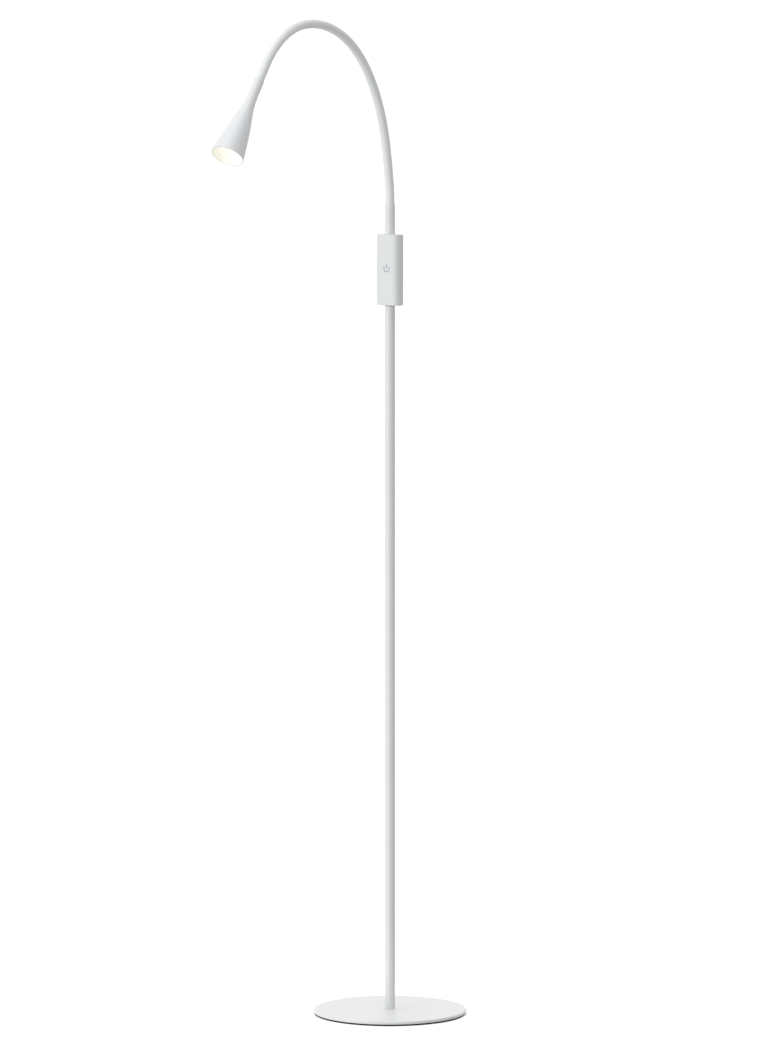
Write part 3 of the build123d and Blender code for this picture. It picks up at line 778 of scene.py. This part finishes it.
# the faces of the short inner wall take the lit copy with the painted glow
for face in shade.data.polygons:
    at = to_head @ face.center / MM
    on_inner_wall = at.xy.length < shade_radius(max(at.z, 0)) - SHADE_WALL + WALL_SLACK
    if on_inner_wall and GLOW_WALL_START < at.z < RECESS_DEPTH + GLOW_WALL_BEHIND:
        face.material_index = 1
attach(shade, "head")
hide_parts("shade")

# ------------------------------------------------------------------------------------------
# Diffuser. A disc of opal acrylic, 1.5 mm, snapped into the bell 7 mm behind its rim. The
# lamp is on: light from the chip behind leaves it evenly, a little brighter in the middle.

DIFFUSER_BACK = 8.7
DIFFUSER_RADIUS = 16.75
DIFFUSER_CROWN = 0.15
DIFFUSER_EDGE = 0.2
DIFFUSER_DRAFT = 0.25       # the disc is this much smaller at its back
GLOW_MIDDLE = 0.34
GLOW_RIM = 0.27
GLOW_NEAR = 7.0             # from the middle of the mouth, where the glow begins to fall
GLOW_FAR = 18.0

# Opal acrylic scatters the chip's light, so no chip shows, only a warm white.
opal = bpy.data.materials.new("lit_opal_acrylic")
opal.use_nodes = True
tree = opal.node_tree
skin = tree.nodes["Principled BSDF"]
skin.inputs["Base Color"].default_value = linear("F4F2EA")
skin.inputs["Roughness"].default_value = 0.5
skin.inputs["IOR"].default_value = 1.49
skin.inputs["Emission Color"].default_value = linear("FFFCE8")
place = add(tree, "ShaderNodeTexCoord").outputs["Object"]
centred = add(tree, "ShaderNodeVectorMath", {"operation": "SUBTRACT", 1: tuple(mouth)}, {0: place})
away = add(tree, "ShaderNodeVectorMath", {"operation": "LENGTH"}, {0: centred.outputs[0]})
glow = add(tree, "ShaderNodeMapRange",
           {"From Min": GLOW_NEAR * MM, "From Max": GLOW_FAR * MM,
            "To Min": GLOW_MIDDLE, "To Max": GLOW_RIM},
           {"Value": away.outputs["Value"]})
tree.links.new(glow.outputs[0], skin.inputs["Emission Strength"])

diffuser = turned("diffuser_dressed", rounded([
    (0, DIFFUSER_BACK, 0), (DIFFUSER_RADIUS - DIFFUSER_DRAFT, DIFFUSER_BACK, DIFFUSER_EDGE),
    (DIFFUSER_RADIUS, RECESS_DEPTH, DIFFUSER_EDGE), (0, RECESS_DEPTH - DIFFUSER_CROWN, 0)], 3),
    TUBE_SIDES, head_place)
diffuser.data.materials.append(opal)
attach(diffuser, "head")
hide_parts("diffuser")

# ------------------------------------------------------------------------------------------
# What is inside: the screw, nuts and inserts of zinc-plated steel, the leads, the circuit
# board with its switch and coil, and the light board with its chip and its heat sink. They
# keep the model's own shapes, because none of them shows.


def plain_finish(name, colour, shade, grain, roughness, metallic=0.0):
    """A finish for an inner piece: its colour in two tones, and the grain that its making leaves."""
    material = bpy.data.materials.new(name)
    material.use_nodes = True
    tree = material.node_tree
    skin = tree.nodes["Principled BSDF"]
    skin.inputs["Metallic"].default_value = metallic
    place = add(tree, "ShaderNodeTexCoord").outputs["Object"]
    grains = add(tree, "ShaderNodeTexNoise", {"Scale": 1 / grain, "Detail": 3.0}, {"Vector": place})
    tone = add(tree, "ShaderNodeMix", {"data_type": "RGBA", 6: linear(colour), 7: linear(shade)},
               {0: grains.outputs["Fac"]})
    tree.links.new(tone.outputs[2], skin.inputs["Base Color"])
    gloss = add(tree, "ShaderNodeMapRange", {"To Min": roughness - 0.08, "To Max": roughness + 0.08},
                {"Value": grains.outputs["Fac"]})
    tree.links.new(gloss.outputs[0], skin.inputs["Roughness"])
    return material


zinc = plain_finish("zinc_plated_steel", "B9BBBE", "A3A6A9", 0.003, 0.32, 1.0)
pvc = plain_finish("white_pvc_insulation", "DCDCDA", "D2D2D0", 0.002, 0.5)
nylon = plain_finish("black_nylon", "1D1D1E", "262627", 0.0008, 0.5)
laminate = plain_finish("green_glass_laminate", "1E5A34", "184A2B", 0.0015, 0.4)
terminal_green = plain_finish("green_polyamide", "3F8A5C", "377A52", 0.001, 0.45)
aluminium = plain_finish("extruded_aluminium", "C9CBCC", "BABCBE", 0.0008, 0.35, 1.0)
board_white = plain_finish("white_solder_mask", "EDEDEA", "E4E4E0", 0.0015, 0.35)
phosphor = plain_finish("yellow_phosphor", "F2D858", "E8C948", 0.0006, 0.6)
inside = {
    zinc: ["foot_screw", "foot_plug", "pole_joiner", "tail_nut", "ferrule_nut", "root_nut", "head_nut"],
    pvc: ["supply_lead", "arm_lead", "head_lead"],
    nylon: ["switch_plunger", "push_switch", "driver_choke"],
    laminate: ["circuit_board"],
    terminal_green: ["supply_terminal", "arm_terminal"],
    aluminium: ["heat_sink"],
    board_white: ["led_board"],
    phosphor: ["led_chip"],
}
for finish, names in inside.items():
    for name in names:
        for slot in frame["nodes"][name].material_slots:
            slot.material = finish
